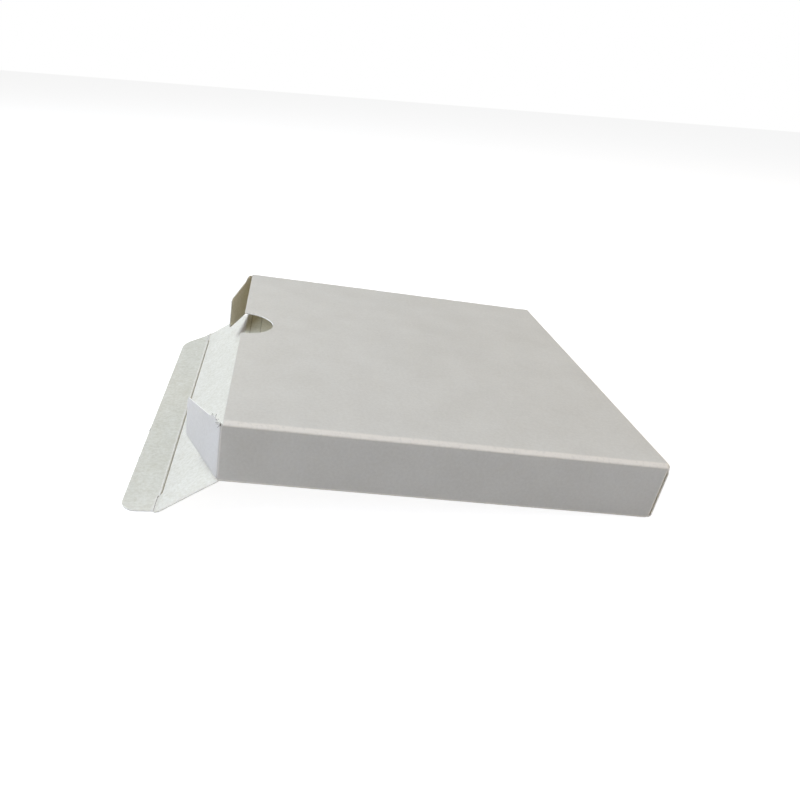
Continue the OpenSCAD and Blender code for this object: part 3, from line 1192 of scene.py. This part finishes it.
class CARTON_OT_stage(bpy.types.Operator):
    """Adds the floor, the lamps, the sky and the camera"""

    bl_idname = "carton.stage"
    bl_label = "Stage"

    def execute(self, context):
        stage = context.scene.carton_stage
        mesh = bpy.data.meshes.new("stage_floor")
        half = 3.0
        corners = [(-half, -half, 0), (half, -half, 0), (half, half, 0), (-half, half, 0)]
        mesh.from_pydata(corners, [], [(0, 1, 2, 3)])
        mesh.materials.append(floor_material())
        floor = bpy.data.objects.new("stage_floor", mesh)
        context.scene.collection.objects.link(floor)
        lamp("window", stage.window, (0.93, 1.0, 0.99), (-0.7, 0.1, 1.0))
        lamp("low_window", stage.low_window, (0.67, 0.7, 1.0), (-1.0, 0.0, 0.6))
        lamp("room", stage.room, (1.0, 0.72, 0.45), (1.0, 0.0, 0.7))
        lamp("front", stage.front, (0.85, 0.87, 1.0), (0.8, -0.8, 0.6))
        self.sky(context, stage.sky)
        self.camera(context, stage)
        context.scene.view_settings.view_transform = "Standard"
        return {"FINISHED"}

    def sky(self, context, strength):
        """A world that is white to the eye and only faintly lights the carton."""
        world = bpy.data.worlds.new("sky")
        world.use_nodes = True
        world.node_tree.nodes.clear()
        graph = Graph(world.node_tree)
        seen = seen_directly(graph)
        soft = graph.add("ShaderNodeBackground", {
            "Color": (1.0, 0.98, 0.94, 1.0), "Strength": strength,
        })
        white = graph.add("ShaderNodeBackground", {"Color": (1, 1, 1, 1), "Strength": 1.0})
        mixed = graph.add("ShaderNodeMixShader", {"Fac": seen})
        graph.tree.links.new(soft.outputs[0], mixed.inputs[1])
        graph.tree.links.new(white.outputs[0], mixed.inputs[2])
        output = graph.add("ShaderNodeOutputWorld")
        graph.tree.links.new(mixed.outputs[0], output.inputs["Surface"])
        context.scene.world = world

    def camera(self, context, stage):
        """The camera, at the place and turn that the stage's settings give."""
        data = bpy.data.cameras.new("camera")
        data.sensor_width = 36
        data.lens = stage.lens
        data.shift_x = stage.shift
        data.clip_start = 0.005
        camera = bpy.data.objects.new("camera", data)
        camera.location = stage.eye
        camera.rotation_euler = stage.turn
        context.scene.collection.objects.link(camera)
        context.scene.camera = camera


class CARTON_PT_sidebar(bpy.types.Panel):
    """Lists the carton's sizes, colours and steps"""

    bl_idname = "CARTON_PT_sidebar"
    bl_label = "Folding carton"
    bl_space_type = "VIEW_3D"
    bl_region_type = "UI"
    bl_category = "Carton"

    def draw(self, context):
        for name in GROUPS:
            group = getattr(context.scene, name)
            box = self.layout.box()
            for prop in group.bl_rna.properties:
                if prop.identifier not in ("name", "rna_type"):
                    box.prop(group, prop.identifier)
        for operator in OPERATORS:
            self.layout.operator(operator.bl_idname)


GROUPS = {
    "carton_sizes": CartonSizes,
    "carton_lid": LidSizes,
    "carton_colours": BoardColours,
    "carton_stage": StageSettings,
}
OPERATORS = (
    CARTON_OT_board, CARTON_OT_lid, CARTON_OT_scores, CARTON_OT_fibres, CARTON_OT_stage,
)
CLASSES = (*GROUPS.values(), *OPERATORS, CARTON_PT_sidebar)


def register():
    for item in CLASSES:
        bpy.utils.register_class(item)
    for name, group in GROUPS.items():
        setattr(bpy.types.Scene, name, bpy.props.PointerProperty(type=group))


def unregister():
    for name in GROUPS:
        delattr(bpy.types.Scene, name)
    for item in reversed(CLASSES):
        bpy.utils.unregister_class(item)


def main():
    """Makes every piece and the stage."""
    register()
    bpy.ops.carton.board()
    bpy.ops.carton.lid()
    bpy.ops.carton.scores()
    bpy.ops.carton.fibres()
    bpy.ops.carton.stage()


if __name__ == "__main__":
    main()
